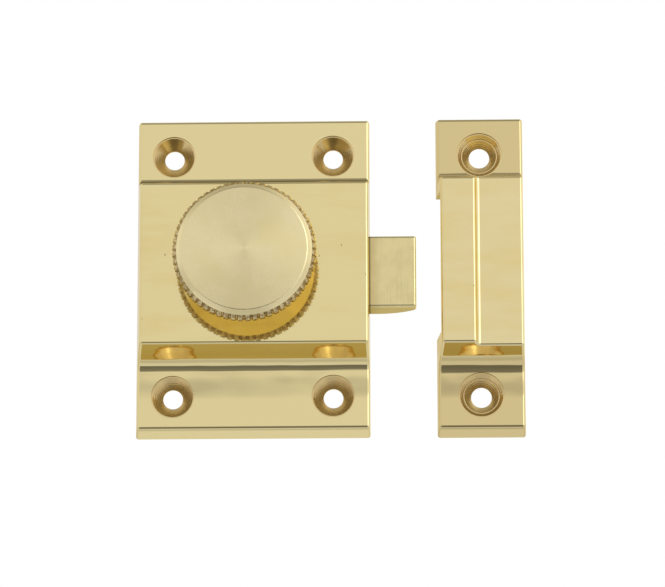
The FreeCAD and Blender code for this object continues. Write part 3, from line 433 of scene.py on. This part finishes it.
def turned_brass(name):
    """Fine lathe finish: concentric marks round the knob's axis, satin on the face."""
    material, tree, shader, place = start_material(name)
    across, depth, height = node(tree, "ShaderNodeSeparateXYZ", {0: place}).outputs
    out_x = calc(tree, "SUBTRACT", across, KNOB_X)
    out_z = calc(tree, "SUBTRACT", height, KNOB_Z)
    radius = length_of(tree, out_x, out_z)
    outward = calc(tree, "MULTIPLY", radius, LATHE_MARKS)
    lengthwise = calc(tree, "MULTIPLY", depth, LATHE_MARKS)
    turned = node(tree, "ShaderNodeCombineXYZ", {0: outward, 1: lengthwise}).outputs[0]
    smudges = noise(tree, place, KNOB_SMUDGES, 4.0, 0.6)
    spots = pits(tree, place, *KNOB_PITS)
    normal = bump(tree, noise(tree, place, KNOB_WAVES, 2.0, 0.5), KNOB_WAVE_DEPTH)
    normal = bump(tree, noise(tree, turned, 1.0, 3.0, 0.6), LINE_DEPTH, normal)
    normal = bump(tree, calc(tree, "MULTIPLY", spots, -1.0), KNOB_PIT_DEPTH, normal)
    # Where the milled band is browned by grime and painted shade
    grime = band_shade_and_grime(tree, depth, radius)
    colour = turned_colour(tree, place, grime, smudges, spots)
    on_face = ramp(tree, depth, *KNOB_FACE)
    rough = ramp(tree, smudges, 0.3, 0.8, *TURNED)
    rough = calc(tree, "ADD", rough, calc(tree, "MULTIPLY", on_face, FACE_ROUGHER))
    rough = calc(tree, "ADD", rough, calc(tree, "MULTIPLY", grime, GRIME_ROUGHER))
    finish_metal(tree, shader, colour, rough, normal, BRASS_GLANCE)
    round_axis = node(tree, "ShaderNodeTangent", direction_type="RADIAL", axis="Y").outputs[0]
    set_grain(tree, shader, round_axis, LATHE_SMEAR, QUARTER_TURN)
    return material


def paint_mouth_shade(tree, place, mouth, colour):
    """Paints shade on a sliding piece where it comes out of its slot, whose mouth is at an X: a soft
    painted shade and a dark painted shadow line next to the mouth.
    """
    across = node(tree, "ShaderNodeSeparateXYZ", {0: place}).outputs["X"]
    # Painted shade, growing over the last 2.6 mm towards the slot's mouth
    soft_shade = ramp(tree, across, mouth + 2.6 * MM, mouth + 0.1 * MM, 0.0, 0.5)
    colour = blend_colours(tree, soft_shade, colour, BOLT_MOUTH_SHADE)
    # Painted shadow line right at the mouth
    shadow_line = ramp(tree, across, mouth + 0.35 * MM, mouth, 0.0, 0.8)
    return blend_colours(tree, shadow_line, colour, BOLT_SHADOW_LINE)


def brushed_metal(name, colour, grain, roughness, depth=BRUSH_DEPTH, mouth=None, glance=None):
    """Metal with fine lines along one axis, darker on some of them and in soft clouds."""
    material, tree, shader, place = start_material(name)
    lines = noise(tree, stretched(tree, place, grain), 1.0, 4.0, 0.65)
    tone = noise(tree, place, 260.0, 3.0, 0.6)
    darker = tuple(part * DARKER for part in colour)
    mixed = blend_colours(tree, ramp(tree, tone, 0.3, 0.8), colour, darker)
    mixed = blend_colours(tree, ramp(tree, lines, 0.45, 0.75, 0.0, 0.5), mixed, darker)
    # Painted shade and a painted shadow line where a sliding piece comes out of its slot
    if mouth is not None:
        mixed = paint_mouth_shade(tree, place, mouth, mixed)
    rough = ramp(tree, lines, 0.25, 0.8, roughness * 0.75, roughness * 1.3)
    finish_metal(tree, shader, mixed, rough, bump(tree, lines, depth), glance)
    return material


def dress(nodes, material):
    """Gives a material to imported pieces."""
    for name in nodes:
        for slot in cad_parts[name].material_slots:
            slot.material = material


def dress_everything():
    """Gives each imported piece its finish."""
    bolt_brass = brushed_metal("bolt_brass", BRASS, BOLT_GRAIN, 0.2, BOLT_DEPTH, BOLT_MOUTH, BRASS_GLANCE)
    washer_brass = brushed_metal("washer_brass", BRASS_DEEP, WASHER_GRAIN, 0.24)
    steel = brushed_metal("steel", STEEL, STEEL_GRAIN, 0.3)
    dress(["case"], cast_brass("cast_brass_case", CASE_CASTING))
    dress(["keep"], cast_brass("cast_brass_keep", KEEP_CASTING))
    dress(["knob"], turned_brass("turned_brass_knob"))
    dress(["latch_bolt"], bolt_brass)
    dress(["back_plate"], brushed_metal("sheet_brass", BRASS_DEEP, SHEET_GRAIN, 0.26))
    dress(["cover_screws"], brushed_metal("screw_brass", BRASS_DEEP, SCREW_GRAIN, 0.24))
    dress(["neck_washer", "thrust_washer"], washer_brass)
    dress(["spindle", "cam_plate", "cam_pin", "spring_guide"], steel)


def tube_along(points, radius, sides):
    """Makes the corners and faces of a round wire that follows points, closed at both ends."""
    corners, faces = [], []
    for at, point in enumerate(points):
        ahead = points[min(at + 1, len(points) - 1)] - points[max(at - 1, 0)]
        side = ahead.cross(Vector((1.0, 0.0, 0.0))).normalized()
        other = ahead.cross(side).normalized()
        for step in range(sides):
            turn = 2 * math.pi * step / sides
            corners.append(point + (side * math.cos(turn) + other * math.sin(turn)) * radius)
    for start in range(0, len(corners) - sides, sides):
        for step in range(sides):
            after = (step + 1) % sides
            faces.append((start + step, start + after, start + sides + after, start + sides + step))
    faces.append(tuple(reversed(range(sides))))
    faces.append(tuple(range(len(corners) - sides, len(corners))))
    return corners, faces


def coil_points(low, high):
    """Gives the points of a coil along X that fills a box, from its high end to its low end."""
    middle = (low + high) / 2
    first, last = low.x + SPRING_WIRE / 2, high.x - SPRING_WIRE / 2
    radius = (high.z - low.z - SPRING_WIRE) / 2
    steps = SPRING_TURNS * STEPS_PER_TURN
    points = []
    for step in range(steps + 1):
        turn = 2 * math.pi * SPRING_TURNS * step / steps
        along = last + (first - last) * step / steps
        forward, up = radius * math.sin(turn), radius * math.cos(turn)
        points.append(Vector((along, middle.y + forward, middle.z + up)))
    return points


def add_spring():
    """The return spring as a coil, in the place of the rigid one of the solids."""
    low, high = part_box("return_spring")
    corners, faces = tube_along(coil_points(low, high), SPRING_WIRE / 2, WIRE_SIDES)
    mesh = bpy.data.meshes.new("return_spring_coil")
    mesh.from_pydata(corners, [], faces)
    mesh.shade_smooth()
    mesh.materials.append(brushed_metal("spring_steel", STEEL, WIRE_GRAIN, 0.25))
    spring = bpy.data.objects.new("return_spring_coil", mesh)
    bpy.context.scene.collection.objects.link(spring)
    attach(spring, "housing")
    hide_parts("return_spring")
    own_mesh(spring)


def levels(tree, number, steps):
    """Gives a brightness that runs through (place, level) steps as a number goes from 0 to 1."""
    made = node(tree, "ShaderNodeValToRGB", {0: number})
    stops = made.color_ramp.elements
    while len(stops) < len(steps):
        stops.new(1.0)
    for stop, (at, level) in zip(stops, steps):
        stop.position = at
        stop.color = (level, level, level, 1.0)
    return made.outputs[0]


def mix_levels(tree, share, first, second):
    """Mixes two brightnesses."""
    change = calc(tree, "SUBTRACT", second, first)
    return calc(tree, "ADD", first, calc(tree, "MULTIPLY", share, change))


def light_the_world():
    """A room that is white to the camera, and to the metal a soft studio, darker towards the camera."""
    world = bpy.data.worlds.new("studio")
    bpy.context.scene.world = world
    world.use_nodes = True
    tree = world.node_tree
    tree.nodes.clear()
    direction = node(tree, "ShaderNodeTexCoord").outputs["Generated"]
    right, away, up = node(tree, "ShaderNodeSeparateXYZ", {0: direction}).outputs
    height = calc(tree, "MULTIPLY", calc(tree, "ADD", up, 1.0), 0.5)
    front = levels(tree, height, FRONT_LEVELS)
    side = levels(tree, height, SIDE_LEVELS)
    back = levels(tree, height, BACK_LEVELS)
    level = mix_levels(tree, ramp(tree, calc(tree, "ABSOLUTE", right), *FRONT_TO_SIDE), front, side)
    level = mix_levels(tree, ramp(tree, away, *FRONT_TO_BACK), level, back)
    for gain in RIGHT_GAINS:
        level = calc(tree, "MULTIPLY", level, ramp(tree, right, *gain))
    studio = node(tree, "ShaderNodeBackground", {"Color": STUDIO_TINT, "Strength": level})
    white = node(tree, "ShaderNodeBackground", {"Color": WHITE, "Strength": 1.0})
    seen = node(tree, "ShaderNodeLightPath").outputs["Is Camera Ray"]
    mix = node(tree, "ShaderNodeMixShader", {0: seen, 1: studio.outputs[0], 2: white.outputs[0]})
    node(tree, "ShaderNodeOutputWorld", {"Surface": mix.outputs[0]})


def add_lamp():
    """A soft square lamp at the right, above and in front, that faces the latch."""
    data = bpy.data.lights.new("key", "AREA")
    data.size = KEY_SIZE
    data.energy = KEY_WATTS
    data.color = KEY_COLOUR
    lamp = bpy.data.objects.new("key", data)
    lamp.location = KEY_PLACE
    lamp.rotation_euler = (AIM - Vector(KEY_PLACE)).to_track_quat("-Z", "Y").to_euler()
    bpy.context.scene.collection.objects.link(lamp)


def paint_floor():
    """Pale paint that the camera sees as white and the metal as the levels of a studio floor."""
    material = bpy.data.materials.new("floor")
    material.use_nodes = True
    tree = material.node_tree
    tree.nodes.clear()
    place = node(tree, "ShaderNodeSeparateXYZ", {0: node(tree, "ShaderNodeTexCoord").outputs["Object"]})
    away = calc(tree, "DIVIDE", calc(tree, "ADD", place.outputs["Y"], FLOOR_HALF), 2 * FLOOR_HALF)
    aside = ramp(tree, calc(tree, "ABSOLUTE", place.outputs["X"]), *FLOOR_TO_SIDE)
    level = mix_levels(tree, aside, levels(tree, away, FLOOR_LEVELS), FLOOR_SIDE_LEVEL)
    paint = node(tree, "ShaderNodeBsdfDiffuse", {"Color": FLOOR_PAINT}).outputs[0]
    pale = node(tree, "ShaderNodeEmission", {"Strength": level}).outputs[0]
    white = node(tree, "ShaderNodeEmission", {"Color": WHITE, "Strength": 1.0}).outputs[0]
    path = node(tree, "ShaderNodeLightPath")
    glossy, seen = path.outputs["Is Glossy Ray"], path.outputs["Is Camera Ray"]
    unseen = node(tree, "ShaderNodeMixShader", {0: glossy, 1: paint, 2: pale}).outputs[0]
    surface = node(tree, "ShaderNodeMixShader", {0: seen, 1: unseen, 2: white}).outputs[0]
    node(tree, "ShaderNodeOutputMaterial", {"Surface": surface})
    return material


def add_floor():
    """A plain pale floor well below the latch, which hangs on its screws."""
    half, level = FLOOR_HALF, FLOOR_HEIGHT
    mesh = bpy.data.meshes.new("floor")
    corners = [(-half, -half, level), (half, -half, level), (half, half, level), (-half, half, level)]
    mesh.from_pydata(corners, [], [(0, 1, 2, 3)])
    mesh.materials.append(paint_floor())
    floor = bpy.data.objects.new("floor", mesh)
    bpy.context.scene.collection.objects.link(floor)


def add_camera():
    """A long lens at the photograph's angle."""
    data = bpy.data.cameras.new("camera")
    data.sensor_width = SENSOR
    data.lens = SENSOR * FOCAL_PIXELS / FRAME_WIDTH
    data.clip_start = NEAR_CLIP
    camera = bpy.data.objects.new("camera", data)
    across, up = math.radians(VIEW_AZIMUTH), math.radians(VIEW_ELEVATION)
    back = Vector((math.sin(across) * math.cos(up), -math.cos(across) * math.cos(up), math.sin(up)))
    camera.location = AIM + back * VIEW_DISTANCE
    roll = Quaternion((0.0, 0.0, 1.0), math.radians(VIEW_ROLL))
    camera.rotation_euler = ((-back).to_track_quat("-Z", "Y") @ roll).to_euler()
    bpy.context.scene.collection.objects.link(camera)
    bpy.context.scene.camera = camera


dress_everything()
add_spring()
light_the_world()
add_lamp()
add_floor()
add_camera()
bpy.context.scene.view_settings.view_transform = "Standard"
